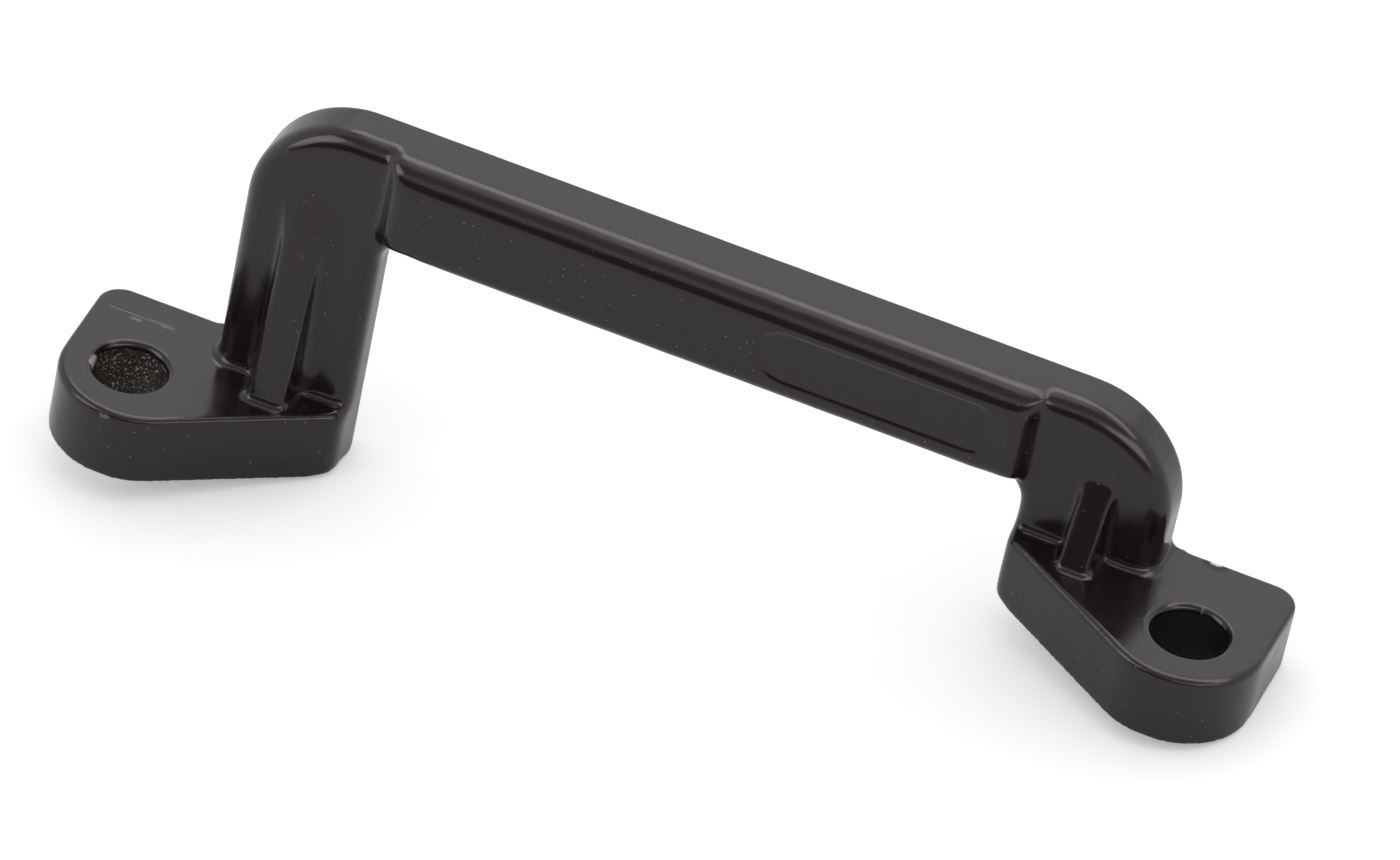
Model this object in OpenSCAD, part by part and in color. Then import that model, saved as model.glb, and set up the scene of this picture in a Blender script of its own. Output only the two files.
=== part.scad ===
// Lifting handle for machines and equipment: one casting with a C-shaped grip and two screw-down feet.
// The legs are unequal, so the two mounting faces sit at different heights.
// Frame: origin on the long leg's hole axis at its mounting face, X to the short leg, Y to the back, Z up.

/* [Overall] */
// distance between the two screw holes
bore_pitch = 160; // [140:1:240]
// height from the long leg's mounting face to the top of the bar
height = 57.6; // [52:0.2:80]
// how much higher the short leg's mounting face sits
foot_step = 22.5; // [0:0.5:24]

/* [Feet] */
// diameter of each screw hole
bore_d = 11; // [8:0.5:14]
// distance from the hole axis to the flat back
bore_back = 17.3; // [16.6:0.1:20]
// offset of both holes from the casting's middle, towards the long leg's end
bore_shift = 0.4; // [0:0.1:1]
// thickness of each foot
foot_t = 11.4; // [8:0.2:14]
// radius of each foot's round end
foot_r = 12; // [11.2:0.1:13]
// how far the round end's centre lies inboard of the hole
foot_in = 1.1; // [0:0.1:2]
// radius of the back outer corner
heel_r = 4; // [3:0.1:5]
// radius of the front inner corner
toe_r = 2.4; // [1.6:0.1:2.6]
// slant of the front side that runs to the leg, degrees
toe_slant = 35.2; // [33:0.1:37]
// lean of the outer side, degrees
side_lean = 1.3; // [0.5:0.1:3]
// rounding of the top rim
rim_r = 0.9; // [0.5:0.1:1.4]

/* [Legs and bar] */
// width of each leg, seen from the front
leg_w = 21.5; // [19:0.1:23]
// distance from the hole's nominal axis to the leg's inner face
leg_reach = 30.5; // [29:0.1:32]
// thickness of the legs and corners, front to back
leg_t = 8.9; // [8.6:0.1:9.4]
// radius of the outer corners
corner_r = 16; // [12:0.5:18]
// radius of the inner corners
inner_r = 5; // [4:0.5:7]
// height of the bar's section
bar_h = 15.5; // [14.5:0.1:17]
// rounding of the outer front edge
front_r = 3.2; // [2.4:0.1:3.4]
// rounding of the inner front edge
inside_r = 2.2; // [1.4:0.1:2.4]
// rounding of the outer edges at the back
back_r = 0.8; // [0.5:0.1:1.2]
// rounding of the opening's back edge, where the fingers close round the bar
palm_r = 3.5; // [2:0.1:4]

/* [Grip] */
// thickness of the grip, front to back
grip_t = 11.5; // [11:0.1:13]
// length of the grip's front face
grip_l = 96.2; // [90:0.2:98]
// length of the slope at each end of the grip
ramp_l = 2.1; // [1.6:0.1:2.6]
// distance from the grip's front face to the step in the top edge
notch_l = 0.5; // [0.2:0.1:1.2]
// rounding of the grip's upper front edge
grip_top_r = 4; // [3:0.1:4.4]
// rounding of the grip's lower front edge
grip_low_r = 2.4; // [2:0.1:3]
// rounding of the grip's front edges at its two ends
grip_side_r = 3; // [1:0.5:4]
// radius of the grip's lower corners, seen from the front
grip_end_r = 2.6; // [1.6:0.1:3]

/* [Marking field] */
// length of the shallow round-ended field
field_l = 37.2; // [20:0.2:50]
// height of the field
field_h = 8.7; // [6:0.1:9.4]
// depth of the field
field_deep = 0.35; // [0.2:0.05:0.6]
// height of the field's middle above the bar's underside
field_up = 7.6; // [7:0.1:8]
// offset of the field towards the short leg
field_x = 26.8; // [-24:0.2:28]

/* [Ribs] */
// distance from the hole axis to the rib's middle plane
rib_reach = 19.5; // [18:0.1:22]
// width of the long leg's rib at its front
rib_w_long = 5.6; // [4:0.1:7]
// width of the short leg's rib at its front
rib_w_short = 4.6; // [4:0.1:6]
// how far the long leg's rib stands in front of the leg at the foot
rib_out_long = 6.1; // [5:0.1:7]
// how far the short leg's rib stands in front of the leg at the foot
rib_out_short = 5.9; // [5:0.1:6.5]
// height of the ribs' upper ends
rib_top = 46.8; // [44:0.2:50]
// draft of the rib's flanks, degrees
rib_draft = 7.5; // [4:0.5:10]
// rounding of the rib's front edges
rib_r = 1; // [0.6:0.1:1.4]
// fillet between the long leg's rib and the leg
flank_r_long = 2.4; // [1.2:0.1:2.8]
// fillet between the short leg's rib and the leg
flank_r_short = 0.9; // [0.6:0.1:1.4]
// fillet where legs and ribs meet the feet
root_r = 1.4; // [1:0.1:2]

/* [Hidden] */
$fn = 48;
over = 1;
sink = 0.55;
slight = cos(4);
nib = 0.004;
reach = 0.5;
lap = 8;
fade = 0.3;
leg_in = bore_pitch / 2 - leg_reach;
leg_out = leg_in + leg_w;
end_x = bore_pitch / 2 - foot_in;
end_y = 0.3 - bore_back;
bar_z = height - bar_h;
side_n = [cos(side_lean), -sin(side_lean)];
toe_n = [-sin(toe_slant), -cos(toe_slant)];
end_c = [end_x, end_y];
side_k = side_n * end_c + foot_r;
toe_k = toe_n * end_c + foot_r;
heel_c = [(side_k - heel_r + side_n[1] * heel_r) / side_n[0], -heel_r];
toe_x = leg_in + toe_r;
toe_c = [toe_x, (toe_k - toe_r - toe_n[0] * toe_x) / toe_n[1]];
heel_run = norm(heel_c - end_c);
side_run = sqrt(heel_run * heel_run - pow(foot_r - heel_r, 2));
toe_gap = norm(toe_c - end_c);
inner_x = leg_in - inner_r;
inner_z = bar_z - inner_r;
outer_x = leg_out - corner_r;
outer_z = height - corner_r;
ramp_k = ramp_l / (grip_t - leg_t);
grip_back = leg_t - front_r - 0.4;
rib_x = bore_pitch / 2 - rib_reach;
rib_deep = 7.5;
rib_foot = 3;
rib_end = 2;
field_z = bar_z + field_up;
slant_run = sqrt(toe_gap * toe_gap - pow(foot_r - toe_r, 2));

// material left of a front edge that is rounded: the corner lies at the origin
module edge_cut(r) {
    difference() {
        translate([-r * slight, -r * slight])
            square(r * slight + over);
        translate([-r * slight, -r * slight])
            circle(r);
    }
}

// fillet in the corner between a floor and a wall that leans back
module root_fill(r, lean) {
    t = r * slight / tan(45 + lean / 2);
    difference() {
        polygon([
            [t, -sink],
            [t, r * slight],
            [-t * sin(lean) - sink * cos(lean), t * cos(lean) - sink * sin(lean)],
            [-sink, -sink]
        ]);
        translate([t, r * slight])
            circle(r);
    }
}

// straight stretch of a section, along the outline's clockwise way, with the outward normal at angle a
module run(p, a, length) {
    translate([p[0], p[1], 0])
        rotate([0, 0, a])
        rotate([90, 0, 0])
        linear_extrude(height = length)
        children();
}

// turned stretch of a section about c, from angle a over the angle turn
module bend(c, r, a, turn) {
    translate([c[0], c[1], 0])
        rotate([0, 0, a])
        rotate_extrude(angle = turn)
        translate([r, 0])
        children();
}

module foot_block() {
    linear_extrude(height = foot_t)
        polygon([
            [leg_in, 0],
            [heel_c[0], 0],
            heel_c + (heel_r - nib) * side_n,
            end_c + (foot_r - nib) * side_n,
            end_c + (foot_r - nib) * toe_n,
            toe_c + (toe_r - nib) * toe_n,
            [leg_in, toe_c[1]]
        ]);
    translate([heel_c[0], heel_c[1] - nib, 0])
        cylinder(h = foot_t, r = heel_r);
    translate([end_c[0], end_c[1], 0])
        cylinder(h = foot_t, r = foot_r);
    translate([toe_c[0] + nib, toe_c[1], 0])
        cylinder(h = foot_t, r = toe_r);
}

// a rim stretch between two round corners: it runs a little past both
module rim_run(c, r, a, length) {
    translate([c[0], c[1], foot_t])
        rotate([0, 0, a])
        translate([r - nib, reach, 0])
        rotate([90, 0, 0])
        linear_extrude(height = length + 2 * reach)
        edge_cut(rim_r);
}

module rim_bend(c, r, a, turn) {
    translate([0, 0, foot_t])
        bend(c, r, a, turn)
        edge_cut(rim_r);
}

module foot_rim() {
    back_x = leg_out + root_r + rim_r;
    translate([0, 0, foot_t])
        run([back_x, 0], 90, heel_c[0] - back_x + reach)
        edge_cut(rim_r);
    rim_bend([heel_c[0], heel_c[1] - nib], heel_r, -side_lean, 90 + side_lean);
    rim_run(heel_c, heel_r, -side_lean, side_run);
    rim_bend(end_c, foot_r, -90 - toe_slant, 90 + toe_slant - side_lean);
    rim_run(end_c, foot_r, -90 - toe_slant, slant_run);
    rim_bend([toe_c[0] + nib, toe_c[1]], toe_r, 180, 90 - toe_slant);
    translate([0, 0, foot_t])
        run([leg_in, toe_c[1] - reach], 180, reach - toe_c[1])
        edge_cut(rim_r);
}

module foot() {
    difference() {
        foot_block();
        foot_rim();
    }
}

// long leg: the leg, its foot and its rib are on the left; the short leg's are on the right
module plate_block() {
    difference() {
        union() {
            linear_extrude(height = leg_t)
                polygon([
                    [-leg_out, 0],
                    [-leg_out, outer_z],
                    [-outer_x, height],
                    [outer_x, height],
                    [leg_out, outer_z],
                    [leg_out, foot_step],
                    [leg_in, foot_step],
                    [leg_in, inner_z],
                    [inner_x, bar_z],
                    [-inner_x, bar_z],
                    [-leg_in, inner_z],
                    [-leg_in, 0]
                ]);
            bend([outer_x, outer_z], 0, -lap, 90 + 2 * lap)
                square([corner_r + nib, leg_t]);
            bend([-outer_x, outer_z], 0, 90 - lap, 90 + 2 * lap)
                square([corner_r + nib, leg_t]);
        }
        for (x = [-inner_x, inner_x])
            translate([x, inner_z, -over])
                cylinder(h = leg_t + 2 * over, r = inner_r + nib);
    }
}

module outer_edge(r, from) {
    run([-leg_out, from], 180, outer_z - from + reach)
        edge_cut(r);
    bend([-outer_x, outer_z], corner_r + nib, 90, 90)
        edge_cut(r);
    run([-outer_x - reach, height], 90, 2 * (outer_x + reach))
        edge_cut(r);
    bend([outer_x, outer_z], corner_r + nib, 0, 90)
        edge_cut(r);
    run([leg_out, outer_z + reach], 0, outer_z + reach - from - foot_step)
        edge_cut(r);
}

module inner_edge(r) {
    run([leg_in, foot_step - over], 180, inner_z - foot_step + over)
        edge_cut(r);
    bend([inner_x, inner_z], inner_r + nib, -lap, 90 + 2 * lap)
        mirror([1, 0, 0])
        edge_cut(r);
    bend([-inner_x, inner_z], inner_r + nib, 90 - lap, 90 + 2 * lap)
        mirror([1, 0, 0])
        edge_cut(r);
    run([-leg_in, inner_z], 0, inner_z + over)
        edge_cut(r);
}

module plate() {
    difference() {
        plate_block();
        translate([0, 0, leg_t])
            outer_edge(front_r, foot_t / 2);
        translate([0, 0, leg_t])
            inner_edge(inside_r);
        mirror([0, 0, 1])
            outer_edge(back_r, foot_t + root_r);
    }
}

module grip_bar() {
    half = grip_l / 2 + ramp_k * grip_t;
    difference() {
        translate([-half, -grip_t, bar_z])
            cube([2 * half, grip_t - grip_back + over, bar_h]);
        translate([half + over, -grip_t, height])
            rotate([0, 0, -90])
            rotate([90, 0, 0])
            linear_extrude(height = 2 * half + 2 * over)
            edge_cut(grip_top_r);
        translate([half + over, -grip_t, bar_z])
            rotate([0, 0, -90])
            rotate([90, 0, 0])
            linear_extrude(height = 2 * half + 2 * over)
            mirror([0, 1, 0])
            edge_cut(grip_low_r);
    }
}

// rounds off the grip's lower right corner in front of the leg
module grip_corner() {
    translate([grip_l / 2 + ramp_l, sink - leg_t, bar_z])
        rotate([90, 0, 0])
        linear_extrude(height = grip_t)
        mirror([0, 1, 0])
        edge_cut(grip_end_r);
}

// rounds off the edge between the grip's front face and the slope at its right end
module grip_side() {
    turn = 90 - atan(ramp_k);
    t = grip_side_r * slight * tan(turn / 2);
    end = [t * cos(turn), t * sin(turn)];
    translate([grip_l / 2, -grip_t])
        difference() {
            polygon([
                [-t, 0],
                [-t, -over],
                [over, -over],
                end + [over * sin(turn), -over * cos(turn)],
                end
            ]);
            translate([-t, grip_side_r * slight])
                circle(grip_side_r);
        }
}

module grip() {
    front = grip_l / 2 - ramp_k * over;
    foot = grip_l / 2 + ramp_l;
    step = grip_l / 2 + notch_l;
    intersection() {
        difference() {
            grip_bar();
            grip_corner();
            mirror([1, 0, 0])
                grip_corner();
        }
        translate([0, 0, bar_z - over])
            linear_extrude(height = bar_h + 2 * over)
            difference() {
                polygon([
                    [-front, -grip_t - over],
                    [front, -grip_t - over],
                    [foot, -leg_t],
                    [step, front_r - leg_t],
                    [step, -grip_back],
                    [-step, -grip_back],
                    [-step, front_r - leg_t],
                    [-foot, -leg_t]
                ]);
                grip_side();
                mirror([1, 0])
                    grip_side();
            }
    }
}

// rib standing on a foot at z = 0: its section runs up a slope and sinks into the leg's front face
module rib(width, out, rise) {
    slope = atan(out / rise);
    t = rib_r / tan(45 + rib_draft / 2);
    c = [width / 2 - t, rib_r];
    n = [cos(rib_draft), -sin(rib_draft)];
    side = c + (rib_r - nib) * n;
    spread = side[0] + (rib_deep - side[1]) * tan(rib_draft);
    length = (rise + rib_foot + rib_end) / cos(slope);
    translate([rib_x, -leg_t - out, 0])
        rotate([-slope, 0, 0])
        translate([0, 0, -rib_foot / cos(slope)]) {
            linear_extrude(height = length)
                polygon([
                    [-c[0], nib],
                    [c[0], nib],
                    side,
                    [spread, rib_deep],
                    [-spread, rib_deep],
                    [-side[0], side[1]]
                ]);
            for (x = [-c[0], c[0]])
                translate([x, c[1], 0])
                    cylinder(h = length, r = rib_r);
        }
}

// fillets round the rib's foot
module rib_root(width, out, rise) {
    slope = atan(out / rise);
    turn = atan(tan(rib_draft) * cos(slope));
    lean = asin(sin(rib_draft) * sin(slope));
    t = rib_r / tan(45 + rib_draft / 2);
    cx = width / 2 - t;
    cy = rib_r / cos(slope) - leg_t - out;
    side = [cx + rib_r * cos(turn), cy - rib_r * sin(turn)];
    length = (-leg_t - side[1]) / cos(turn);
    back = [side[0] + length * sin(turn), -leg_t];
    translate([rib_x, 0, 0]) {
        run(back, -turn, length)
            root_fill(root_r, lean);
        bend([cx, cy], rib_r + nib, -90 - lap, 90 - turn + 2 * lap)
            root_fill(root_r, slope);
        run([cx, -leg_t - out], -90, 2 * cx)
            root_fill(root_r, slope);
        bend([-cx, cy], rib_r + nib, 180 + turn - lap, 90 - turn + 2 * lap)
            root_fill(root_r, slope);
        run([-side[0], side[1]], 180 + turn, length)
            root_fill(root_r, lean);
    }
}

// fillet between the rib's right flank and the leg: it fades out under the rib's sloped front
module rib_flank(width, out, rise, r) {
    slope = atan(out / rise);
    tilt = atan(tan(rib_draft) * sin(slope));
    t = rib_r / tan(45 + rib_draft / 2);
    side_x = width / 2 - t + rib_r * cos(rib_draft);
    side_y = rib_r - rib_r * sin(rib_draft);
    top_x = side_x - side_y * tan(rib_draft);
    length = (rise + sink) / cos(tilt);
    intersection() {
        translate([top_x, -leg_t, rise])
            rotate([0, -tilt, 0])
            rotate([180, 0, 0])
            linear_extrude(height = length)
            root_fill(r, asin(sin(rib_draft) * cos(slope)));
        translate([0, -leg_t - out, 0])
            rotate([-slope, 0, 0])
            translate([0, fade, -rib_foot])
            cube([rib_deep, rib_deep, rise + 2 * rib_foot]);
    }
}

// fillets round the leg's foot
module leg_root() {
    run([leg_out, 0], 0, leg_t - front_r)
        root_fill(root_r, 0);
    bend([leg_out - front_r, front_r - leg_t], front_r, -90, 90)
        root_fill(root_r, 0);
    run([leg_out - front_r, -leg_t], -90, leg_w - front_r - rim_r)
        root_fill(root_r, 0);
}

module end_block(width, out, rise, flank) {
    foot();
    translate([0, 0, foot_t]) {
        rib(width, out, rise);
        rib_root(width, out, rise);
        translate([rib_x, 0, 0]) {
            rib_flank(width, out, rise, flank);
            mirror([1, 0, 0])
                rib_flank(width, out, rise, flank);
        }
        leg_root();
    }
}

module field() {
    half = (field_l - field_h) / 2;
    translate([field_x, -grip_t + field_deep, field_z])
        rotate([90, 0, 0]) {
            translate([-half, nib - field_h / 2, 0])
                cube([2 * half, field_h - 2 * nib, over]);
            for (x = [-half, half])
                translate([x, 0, 0])
                    cylinder(h = over, r = field_h / 2);
        }
}

module bore(x, z) {
    translate([x, -bore_back, z - over])
        cylinder(h = foot_t + 2 * over, r = bore_d / 2);
}

module handle() {
    rise_long = rib_top - foot_t;
    rise_short = rise_long - foot_step;
    color("#2b2a2b")
    translate([bore_pitch / 2 + bore_shift, bore_back, 0])
        difference() {
            union() {
                rotate([90, 0, 0])
                    plate();
                grip();
                mirror([1, 0, 0])
                    end_block(rib_w_long, rib_out_long, rise_long, flank_r_long);
                translate([0, 0, foot_step])
                    end_block(rib_w_short, rib_out_short, rise_short, flank_r_short);
            }
            rotate([90, 0, 0])
                mirror([0, 0, 1]) {
                inner_edge(palm_r);
                run([inner_x, bar_z], -90, 2 * inner_x)
                    edge_cut(palm_r);
            }
            bore(-bore_pitch / 2 - bore_shift, 0);
            bore(bore_pitch / 2 - bore_shift, foot_step);
            field();
        }
}

handle();
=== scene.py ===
import math
import bpy
from mathutils import Matrix, Vector


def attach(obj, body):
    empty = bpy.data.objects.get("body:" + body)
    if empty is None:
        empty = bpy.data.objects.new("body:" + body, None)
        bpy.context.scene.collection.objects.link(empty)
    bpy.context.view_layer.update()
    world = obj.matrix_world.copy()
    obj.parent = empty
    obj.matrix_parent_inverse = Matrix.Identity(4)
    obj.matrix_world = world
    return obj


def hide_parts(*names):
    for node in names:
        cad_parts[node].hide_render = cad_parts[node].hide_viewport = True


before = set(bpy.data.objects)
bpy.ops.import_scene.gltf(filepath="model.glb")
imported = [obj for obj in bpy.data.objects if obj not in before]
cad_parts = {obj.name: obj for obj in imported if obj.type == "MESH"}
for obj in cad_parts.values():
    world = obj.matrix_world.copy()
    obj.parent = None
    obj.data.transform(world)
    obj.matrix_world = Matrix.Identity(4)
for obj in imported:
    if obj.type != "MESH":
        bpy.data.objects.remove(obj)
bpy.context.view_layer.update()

scene = bpy.context.scene
scene.view_settings.view_transform = "Standard"
print("frame loaded")


def clearSelection():
    if bpy.context.object and bpy.context.object.mode != "OBJECT":
        bpy.ops.object.mode_set(mode="OBJECT")
    bpy.ops.object.select_all(action="DESELECT")


def pick(piece):
    clearSelection()
    piece.select_set(True)
    bpy.context.view_layer.objects.active = piece


def applied(piece, name, kind, **settings):
    made = piece.modifiers.new(name, kind)
    for key, value in settings.items():
        setattr(made, key, value)
    bpy.ops.object.modifier_apply(modifier=name)


def placed(origin, right, up, back):
    turned = Matrix((right, up, back)).transposed().to_4x4()
    turned.translation = origin
    return turned


def grey(level):
    return (level, level, level, 1.0)


def newMaterial(name):
    made = bpy.data.materials.new(name)
    made.use_nodes = True
    return made, made.node_tree


def node(tree, kind, inputs=None, **settings):
    made = tree.nodes.new(kind)
    for name, value in settings.items():
        setattr(made, name, value)
    for name, value in (inputs or {}).items():
        made.inputs[name].default_value = value
    return made


def link(tree, out, into):
    tree.links.new(out, into)


def maths(tree, operation, *values, **settings):
    made = node(tree, "ShaderNodeMath", operation=operation, **settings)
    for slot, value in enumerate(values):
        if isinstance(value, float):
            made.inputs[slot].default_value = value
        else:
            link(tree, value, made.inputs[slot])
    return made.outputs[0]


def remap(tree, value, before, after):
    made = node(tree, "ShaderNodeMapRange", {
        "From Min": before[0], "From Max": before[1], "To Min": after[0], "To Max": after[1]})
    link(tree, value, made.inputs["Value"])
    return made.outputs[0]


def noise(tree, place, kind):
    scale, detail, roughness = kind
    made = node(tree, "ShaderNodeTexNoise", {"Scale": scale, "Detail": detail, "Roughness": roughness})
    link(tree, place, made.inputs["Vector"])
    return made.outputs[0]


def bump(tree, height, kind, below=None):
    strength, distance = kind
    made = node(tree, "ShaderNodeBump", {"Strength": strength, "Distance": distance})
    link(tree, height, made.inputs["Height"])
    if below is not None:
        link(tree, below, made.inputs["Normal"])
    return made.outputs[0]


# Camera: the photograph's own viewpoint, a long lens a step and a half away
view = {
    "turn": 13.270,        # degrees round the handle from its front
    "rise": 37.560,
    "roll": 12.227,
    "away": 1.5905,        # metres
    "offRight": 0.00409,
    "offUp": 0.01807,
    "middle": (0.0804, 0.0173, 0.0),
    "lens": 281.98,
    "sensor": 36.0,
    "sees": (0.05, 30.0),  # metres, nearest and farthest
}


def viewAxes():
    turn, rise, roll = (math.radians(view[k]) for k in ("turn", "rise", "roll"))
    back = Vector((math.sin(turn) * math.cos(rise), -math.cos(turn) * math.cos(rise), math.sin(rise)))
    right = Vector((math.cos(turn), math.sin(turn), 0.0))
    up = back.cross(right)
    rolledRight = right * math.cos(roll) + up * math.sin(roll)
    rolledUp = up * math.cos(roll) - right * math.sin(roll)
    return rolledRight, rolledUp, back


def makeCamera():
    right, up, back = viewAxes()
    data = bpy.data.cameras.new("photoCamera")
    data.sensor_width = view["sensor"]
    data.lens = view["lens"]
    data.clip_start, data.clip_end = view["sees"]
    camera = bpy.data.objects.new("photoCamera", data)
    scene.collection.objects.link(camera)
    straight = Vector(view["middle"]) + back * view["away"]
    shifted = straight + right * view["offRight"] + up * view["offUp"]
    camera.matrix_world = placed(shifted, right, up, back)
    scene.camera = camera


makeCamera()
print("camera ready")


# Studio: a pale floor under both feet, five soft lamps, and grey cards in front and overhead
studio = {
    "floorWhite": 0.86,
    "floorGlow": 0.30,     # seen by the camera
    "floorGloss": 0.04,    # seen in reflections
    "floorHalf": 3.0,
    "floorGap": 0.0002,    # metres under the feet
    "touchLong": (0.0302, 0.0),      # x, z of the long foot's inner edge on the floor
    "touchShort": (0.1716, 0.0225),  # x, z of the short foot's outer edge on the floor
    "worldWhite": 1.0,
    "worldLight": 0.95,
    "backLamp": ((0.0, 1.1, 1.05), (1.8, 0.62), 1.7),   # place, size, watts
    "stripLamp": ((0.35, 0.547, 1.50), (2.6, 0.46), 10.7),
    "topLamp": ((0.0, -0.03, 1.56), (1.6, 0.46), 1.9),
    "leftLamp": ((-1.0, -0.75, 0.72), (0.8, 1.15), 7.4),
    "rightLamp": ((1.02, -0.92, 0.84), (1.5, 0.62), 6.4),
    "aim": (0.08, 0.0, 0.03),
    "frontCard": (0.10, (0.08, -1.0, 0.32), 90.0, (3.6, 0.64)),  # grey, middle, turn, size
    "topCard": (0.55, (0.08, -0.645, 1.40), 0.0, (3.6, 0.89)),
    "cardRough": 0.9,
}


def brightRays(tree):
    rays = node(tree, "ShaderNodeLightPath")
    seen = maths(tree, "MAXIMUM", rays.outputs["Is Camera Ray"], rays.outputs["Is Glossy Ray"])
    return maths(tree, "MAXIMUM", seen, rays.outputs["Is Transmission Ray"])


def floorMaterial():
    made, tree = newMaterial("paleFloor")
    tree.nodes.clear()
    matt = node(tree, "ShaderNodeBsdfDiffuse", {"Color": grey(studio["floorWhite"])})
    glow = node(tree, "ShaderNodeEmission", {"Color": grey(1.0)})
    rays = node(tree, "ShaderNodeLightPath")
    both = node(tree, "ShaderNodeAddShader")
    out = node(tree, "ShaderNodeOutputMaterial")
    levels = (studio["floorGloss"], studio["floorGlow"])
    amount = remap(tree, rays.outputs["Is Camera Ray"], (0.0, 1.0), levels)
    link(tree, maths(tree, "MULTIPLY", amount, brightRays(tree)), glow.inputs["Strength"])
    link(tree, matt.outputs[0], both.inputs[0])
    link(tree, glow.outputs[0], both.inputs[1])
    link(tree, both.outputs[0], out.inputs["Surface"])
    return made


def makeFloor():
    (longX, longZ), (shortX, shortZ) = studio["touchLong"], studio["touchShort"]
    along = Vector((shortX - longX, 0.0, shortZ - longZ)).normalized()
    deep = Vector((0.0, 1.0, 0.0))
    up = along.cross(deep)
    start = Vector((longX, view["middle"][1], longZ))
    clearSelection()
    bpy.ops.mesh.primitive_plane_add(size=2.0 * studio["floorHalf"])
    floor = bpy.context.object
    floor.name = "floor"
    floor.matrix_world = placed(start - up * studio["floorGap"], along, deep, up)
    floor.data.materials.append(floorMaterial())


def makeWorld():
    world = bpy.data.worlds.new("studioWorld")
    scene.world = world
    world.use_nodes = True
    tree = world.node_tree
    tree.nodes.clear()
    shown = node(tree, "ShaderNodeBackground", {"Color": grey(studio["worldWhite"]), "Strength": 1.0})
    light = node(tree, "ShaderNodeBackground", {"Color": grey(1.0), "Strength": studio["worldLight"]})
    mixed = node(tree, "ShaderNodeMixShader")
    out = node(tree, "ShaderNodeOutputWorld")
    link(tree, brightRays(tree), mixed.inputs[0])
    link(tree, light.outputs[0], mixed.inputs[1])
    link(tree, shown.outputs[0], mixed.inputs[2])
    link(tree, mixed.outputs[0], out.inputs["Surface"])


def makeLamp(name):
    place, size, power = studio[name]
    data = bpy.data.lights.new(name, "AREA")
    data.shape = "RECTANGLE"
    data.size, data.size_y = size
    data.energy = power
    lamp = bpy.data.objects.new(name, data)
    scene.collection.objects.link(lamp)
    lamp.location = place
    lamp.visible_diffuse = name == "backLamp"  # the others only show in the gloss
    lamp.rotation_euler = (Vector(studio["aim"]) - Vector(place)).to_track_quat("-Z", "Y").to_euler()


def makeCard(name):
    level, middle, turn, size = studio[name]
    made, tree = newMaterial(name)
    shader = tree.nodes["Principled BSDF"]
    shader.inputs["Base Color"].default_value = grey(level)
    shader.inputs["Roughness"].default_value = studio["cardRough"]
    clearSelection()
    bpy.ops.mesh.primitive_plane_add(size=1.0, location=middle, rotation=(math.radians(turn), 0.0, 0.0))
    card = bpy.context.object
    card.name = name
    card.scale = size + (1.0,)
    card.data.materials.append(made)
    card.visible_camera = False
    card.visible_diffuse = False
    card.visible_shadow = False


makeFloor()
makeWorld()
for lampName in ("backLamp", "stripLamp", "topLamp", "leftLamp", "rightLamp"):
    makeLamp(lampName)
makeCard("frontCard")
makeCard("topCard")
print("studio ready")


# Paint, with the dust and small chips of a used handle
paint = {
    "black": (0.0090, 0.0058, 0.0070),
    "index": 1.48,
    "glossTint": (1.0, 0.94, 1.0),
    "castGrain": (1.0 / 0.00035, 3.0, 0.6),  # noise scale, detail, roughness
    "grainBump": (0.35, 0.00001),            # strength, metres
    "castWave": (260.0, 2.0, 0.5),
    "waveBump": (0.18, 0.00004),
    "waveLevels": (0.3, 0.7),   # noise levels between which the paint turns duller
    "rough": (0.14, 0.22),      # roughness at those two levels
    "soiledRough": 0.4,         # added where dust or a mark lies
    "specks": 1200.0,           # dust cells to a metre
    "speckSize": 0.135,         # largest speck, as a share of a cell
    "speckShare": 0.55,         # cells without a speck
    "speckFacing": (0.2, 0.8),  # how far a face looks up, from and to
    "speckShows": (0.50, 0.12),  # how much a speck shows on those two faces
    "dust": (0.33, 0.30, 0.27),
    "partingLine": 0.0118,      # y of the line where the mould parted
    "partingWidth": 0.0003,
    "partingEnds": ((-0.0039, 0.0044), (0.1572, 0.0042)),  # middle x and half length on each foot
    "partingBump": (0.5, 0.00007),
}

marks = (  # place and half size in metres, colour, how much shows
    # scuffs behind the left bore
    ((-0.0037, 0.0108, 0.0114), (0.0011, 0.0004, 0.0006), (0.17, 0.16, 0.155), 0.55),
    ((0.0000, 0.0118, 0.0114), (0.0024, 0.0003, 0.0006), (0.15, 0.14, 0.14), 0.45),
    ((0.0010, 0.0114, 0.0114), (0.0012, 0.0002, 0.0006), (0.17, 0.16, 0.16), 0.50),
    # chip at the left foot's rim, and the worn rim of the left bore
    ((0.0008, -0.0122, 0.0108), (0.0013, 0.0008, 0.0010), (0.24, 0.20, 0.15), 0.70),
    ((-0.0055, -0.0010, 0.0100), (0.0008, 0.0018, 0.0015), (0.62, 0.58, 0.53), 0.90),
    # chip at the right foot's back edge, its dark surround first
    ((0.1585, 0.0160, 0.0337), (0.0026, 0.0013, 0.0010), (0.004, 0.003, 0.003), 1.00),
    ((0.1584, 0.0165, 0.0338), (0.0010, 0.0005, 0.0006), (0.75, 0.68, 0.58), 0.95),
    # nick at the right bore, and a scuff left of it
    ((0.1600, 0.0059, 0.0337), (0.00025, 0.0008, 0.0010), (0.16, 0.15, 0.15), 0.40),
    ((0.1497, -0.0060, 0.0325), (0.0003, 0.0009, 0.0012), (0.20, 0.19, 0.18), 0.50),
)

markEdge = {
    "ragged": (2400.0, 3.0, 0.65),  # noise scale, detail, roughness
    "reach": (1.15, 1.55),          # half sizes plus noise, from full to nothing
    "deep": 0.8,                    # a mark that shows more than this is on the bore walls too
}


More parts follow.
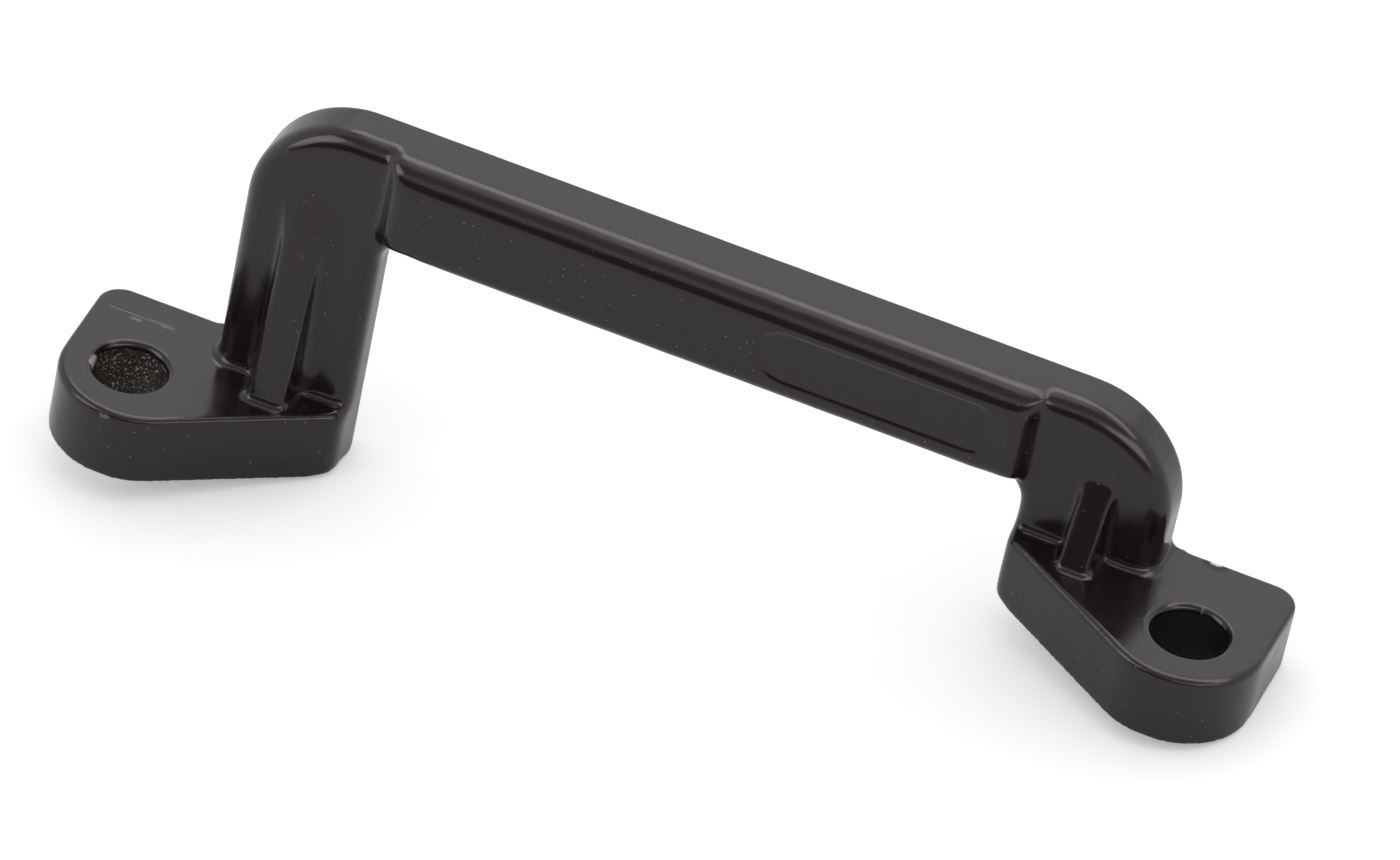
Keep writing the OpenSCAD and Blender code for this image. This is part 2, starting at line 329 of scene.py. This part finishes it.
def markMask(tree, place, at, half, shows):
    scale = [1.0 / size for size in half]
    moved = node(tree, "ShaderNodeMapping", {"Scale": scale, "Location": [-a * b for a, b in zip(at, scale)]})
    far = node(tree, "ShaderNodeVectorMath", operation="LENGTH")
    link(tree, place, moved.inputs["Vector"])
    link(tree, moved.outputs[0], far.inputs[0])
    ragged = maths(tree, "ADD", far.outputs["Value"], noise(tree, place, markEdge["ragged"]))
    return remap(tree, ragged, markEdge["reach"], (shows, 0.0))


def dustMask(tree, place):
    cells = node(tree, "ShaderNodeTexVoronoi", {"Scale": paint["specks"]})
    chance = node(tree, "ShaderNodeSeparateColor")
    surface = node(tree, "ShaderNodeNewGeometry")
    facing = node(tree, "ShaderNodeSeparateXYZ")
    link(tree, place, cells.inputs["Vector"])
    link(tree, cells.outputs["Color"], chance.inputs[0])
    link(tree, surface.outputs["Normal"], facing.inputs[0])
    size = maths(tree, "MULTIPLY", chance.outputs[1], paint["speckSize"])
    near = maths(tree, "LESS_THAN", cells.outputs["Distance"], size)
    some = maths(tree, "GREATER_THAN", chance.outputs[0], paint["speckShare"])
    shows = remap(tree, facing.outputs["Z"], paint["speckFacing"], paint["speckShows"])
    return maths(tree, "MULTIPLY", maths(tree, "MULTIPLY", near, some), shows)


def partingMask(tree, place):
    parts = node(tree, "ShaderNodeSeparateXYZ")
    link(tree, place, parts.inputs[0])
    away = maths(tree, "ABSOLUTE", maths(tree, "SUBTRACT", parts.outputs["Y"], paint["partingLine"]))
    ridge = remap(tree, away, (0.0, paint["partingWidth"]), (1.0, 0.0))
    ends = [maths(tree, "COMPARE", parts.outputs["X"], middle, half) for middle, half in paint["partingEnds"]]
    return maths(tree, "MULTIPLY", ridge, maths(tree, "ADD", *ends))


def layered(tree, below, colour, mask):
    mixed = node(tree, "ShaderNodeMix", data_type="RGBA")
    mixed.inputs["B"].default_value = colour + (1.0,)
    link(tree, mask, mixed.inputs["Factor"])
    if isinstance(below, tuple):
        mixed.inputs["A"].default_value = below + (1.0,)
    else:
        link(tree, below, mixed.inputs["A"])
    return mixed.outputs["Result"]


def paintMaterial():
    made, tree = newMaterial("blackPaint")
    shader = tree.nodes["Principled BSDF"]
    shader.inputs["IOR"].default_value = paint["index"]
    shader.inputs["Specular Tint"].default_value = paint["glossTint"] + (1.0,)
    place = node(tree, "ShaderNodeTexCoord").outputs["Object"]
    soiled = dustMask(tree, place)
    colour = layered(tree, paint["black"], paint["dust"], soiled)
    for at, half, tint, shows in marks:
        mask = markMask(tree, place, at, half, shows)
        colour = layered(tree, colour, tint, mask)
        soiled = maths(tree, "MAXIMUM", soiled, mask)
    link(tree, colour, shader.inputs["Base Color"])

    wave = noise(tree, place, paint["castWave"])
    rough = remap(tree, wave, paint["waveLevels"], paint["rough"])
    dull = maths(tree, "MULTIPLY_ADD", soiled, paint["soiledRough"], rough, use_clamp=True)
    link(tree, dull, shader.inputs["Roughness"])
    skin = bump(tree, partingMask(tree, place), paint["partingBump"])
    skin = bump(tree, wave, paint["waveBump"], skin)
    skin = bump(tree, noise(tree, place, paint["castGrain"]), paint["grainBump"], skin)
    link(tree, skin, shader.inputs["Normal"])
    return made


# Bore walls: worn and grainy in the left bore, dark and rough in the right
worn = {
    "name": "wornBore",
    "dark": (0.016, 0.013, 0.011),
    "light": (0.84, 0.74, 0.64),
    "edge": (0.57, 0.67),   # noise levels between which a grain turns light
    "rough": 0.45,
}

sooty = {
    "name": "sootyBore",
    "dark": (0.0020, 0.0016, 0.0016),
    "light": (0.36, 0.31, 0.27),
    "edge": (0.69, 0.76),
    "rough": 0.50,
}

boreWall = {
    "grains": (2500.0, 3.0, 0.75),  # noise scale, detail, roughness
    "pits": (900.0, 3.0, 0.6),
    "pitBump": (0.5, 0.0003),       # strength, metres
}


def boreMaterial(finish):
    made, tree = newMaterial(finish["name"])
    shader = tree.nodes["Principled BSDF"]
    shader.inputs["Roughness"].default_value = finish["rough"]
    place = node(tree, "ShaderNodeTexCoord").outputs["Object"]
    bright = remap(tree, noise(tree, place, boreWall["grains"]), finish["edge"], (0.0, 1.0))
    colour = layered(tree, finish["dark"], finish["light"], bright)
    for at, half, tint, shows in marks:
        if shows > markEdge["deep"]:
            colour = layered(tree, colour, tint, markMask(tree, place, at, half, shows))
    link(tree, colour, shader.inputs["Base Color"])
    link(tree, bump(tree, noise(tree, place, boreWall["pits"]), boreWall["pitBump"]), shader.inputs["Normal"])
    return made


# Casting: the CAD solid with the soft blends of a sand casting
casting = {
    "merge": 0.000001,     # metres, the CAD mesh's doubles
    "voxel": 0.0003,
    "softFactor": 0.5,
    "softSteps": 12,
    "field": (0.082, 0.126, 0.0066),  # x from and to, and y in front of which the recess stays crisp
    "fieldSoft": 0.25,
    "gripEnds": (0.0330, 0.1278),     # x of the bar's two ends, where the blends are softest
    "endReach": 0.0052,
    "endDepth": 0.0125,               # y behind which the ends stay crisp
    "endFade": 0.003,
    "endSteps": 90,
    "uneven": 0.00006,     # how far the surface wanders inwards
    "unevenSize": 0.005,
    "bores": ((0.0, 0.0, 0.0114), (0.16, 0.0, 0.0339)),  # x, y and the foot's top
    "boreRadius": 0.0055,
    "boreRim": 0.0011,     # rounding at the top of each bore
    "rimReach": 1.3,       # how far it pulls the mesh in, in roundings
    "wallSlack": 0.0003,   # past the radius, still a bore wall
    "roundMark": (0.0801, 0.0490, 0.0028, 0.00005),      # x, z, radius and depth of the faint mark on the bar
    "roundMarkEdge": 0.0004,
    "kept": 0.49,          # share of the fine mesh that is kept
}


def softenAll(piece):
    low, high, front = casting["field"]
    group = piece.vertex_groups.new(name="blends")
    for point in piece.data.vertices:
        crisp = low < point.co.x < high and point.co.y < front
        group.add([point.index], casting["fieldSoft"] if crisp else 1.0, "REPLACE")
    applied(piece, "soft", "SMOOTH", factor=casting["softFactor"], iterations=casting["softSteps"],
            vertex_group="blends")


def softenEnds(piece):
    group = piece.vertex_groups.new(name="gripEnds")
    for point in piece.data.vertices:
        near = min(abs(point.co.x - end) for end in casting["gripEnds"])
        side = min(1.0, 2.0 * (1.0 - near / casting["endReach"]))  # whole in the nearer half of the reach
        depth = min(1.0, (casting["endDepth"] - point.co.y) / casting["endFade"])
        if side > 0.0 and depth > 0.0:
            group.add([point.index], side * depth, "REPLACE")
    applied(piece, "ends", "SMOOTH", factor=casting["softFactor"], iterations=casting["endSteps"],
            vertex_group="gripEnds")


def makeUneven(piece):
    clouds = bpy.data.textures.new("unevenCast", "CLOUDS")
    clouds.noise_scale = casting["unevenSize"]
    applied(piece, "wander", "DISPLACE", texture=clouds, texture_coords="LOCAL", mid_level=1.0,
            strength=casting["uneven"])


def roundRims(mesh):
    rim, radius = casting["boreRim"], casting["boreRadius"]
    reach = casting["rimReach"] * rim
    for point in mesh.vertices:
        for x, y, top in casting["bores"]:
            out = Vector((point.co.x - x, point.co.y - y))
            high = point.co.z - (top - rim)
            inward = out.length - (radius + rim)
            if -reach < inward < 0.0 and 0.0 < high < reach:
                arc = Vector((inward, high)).normalized() * rim
                flat = out.normalized() * (radius + rim + arc.x)
                point.co = (x + flat.x, y + flat.y, top - rim + arc.y)


def pressMark(mesh):
    x, z, radius, depth = casting["roundMark"]
    for point in mesh.vertices:
        away = math.hypot(point.co.x - x, point.co.z - z)
        if away < radius and point.co.y < casting["field"][2]:
            point.co.y += depth * min(1.0, (radius - away) / casting["roundMarkEdge"])


def paintBores(mesh):
    wall = casting["boreRadius"] + casting["wallSlack"]
    for face in mesh.polygons:
        face.material_index = 0
        for index, (x, y, top) in enumerate(casting["bores"]):
            away = math.hypot(face.center.x - x, face.center.y - y)
            if away < wall and face.center.z < top - casting["boreRim"]:
                face.material_index = 1 + index


def makeCasting():
    piece = bpy.data.objects.new("castHandle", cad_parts["handle"].data.copy())
    scene.collection.objects.link(piece)
    piece.data.materials.clear()
    for finish in (paintMaterial(), boreMaterial(worn), boreMaterial(sooty)):
        piece.data.materials.append(finish)
    pick(piece)
    bpy.ops.object.mode_set(mode="EDIT")
    bpy.ops.mesh.select_all(action="SELECT")
    bpy.ops.mesh.remove_doubles(threshold=casting["merge"])
    bpy.ops.object.mode_set(mode="OBJECT")
    applied(piece, "grid", "REMESH", mode="VOXEL", voxel_size=casting["voxel"], use_smooth_shade=True)
    softenAll(piece)
    softenEnds(piece)
    makeUneven(piece)
    roundRims(piece.data)
    pressMark(piece.data)
    applied(piece, "fewer", "DECIMATE", ratio=casting["kept"])
    paintBores(piece.data)
    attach(piece, "root")
    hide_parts("handle")
    print("casting ready:", len(piece.data.polygons), "faces")


makeCasting()
